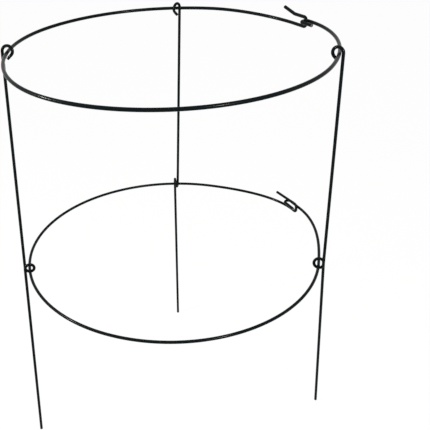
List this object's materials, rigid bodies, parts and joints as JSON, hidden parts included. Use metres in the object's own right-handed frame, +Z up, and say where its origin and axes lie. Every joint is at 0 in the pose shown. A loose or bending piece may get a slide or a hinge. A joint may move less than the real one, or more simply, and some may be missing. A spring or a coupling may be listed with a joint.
{
  "type": "ring plant support",
  "caption": "Open wire rings one above the other on wire legs that slide round them; linking hooks close each ring round a tall plant, and the leg tips push into the soil.",
  "frame": {"origin": "where the common axis of both rings meets the level of the leg tips", "axes": "+Z up along the axis of the rings; -Y towards the front, with the back leg at +Y and the hook closures between +X and +Y"},
  "size_m": [0.4348, 0.423, 0.5834],
  "materials": {
    "wire_coat": "smooth semi-gloss black-green coat on steel wire"
  },
  "bodies": {
    "upper_ring": {"upper_ring": "wire_coat"},
    "lower_ring": {"lower_ring": "wire_coat"},
    "leg_back": {"leg_back": "wire_coat"},
    "leg_left": {"leg_left": "wire_coat"},
    "leg_right": {"leg_right": "wire_coat"}
  },
  "joints": [
    {"name": "leg_back_slide_round", "type": "hinge", "parent": "upper_ring", "child": "leg_back", "pos_m": [0, 0, 0.5686], "axis": [0, 0, 1], "range_deg": [-8, 40]},
    {"name": "leg_left_slide_round", "type": "hinge", "parent": "upper_ring", "child": "leg_left", "pos_m": [0, 0, 0.5686], "axis": [0, 0, 1], "range_deg": [-40, 60]},
    {"name": "leg_right_slide_round", "type": "hinge", "parent": "upper_ring", "child": "leg_right", "pos_m": [0, 0, 0.5686], "axis": [0, 0, 1], "range_deg": [-50, 0]},
    {"name": "lower_ring_turn", "type": "hinge", "parent": "upper_ring", "child": "lower_ring", "pos_m": [0, 0, 0.2813], "axis": [0, 0, 1], "range_deg": [0, 8]}
  ]
}
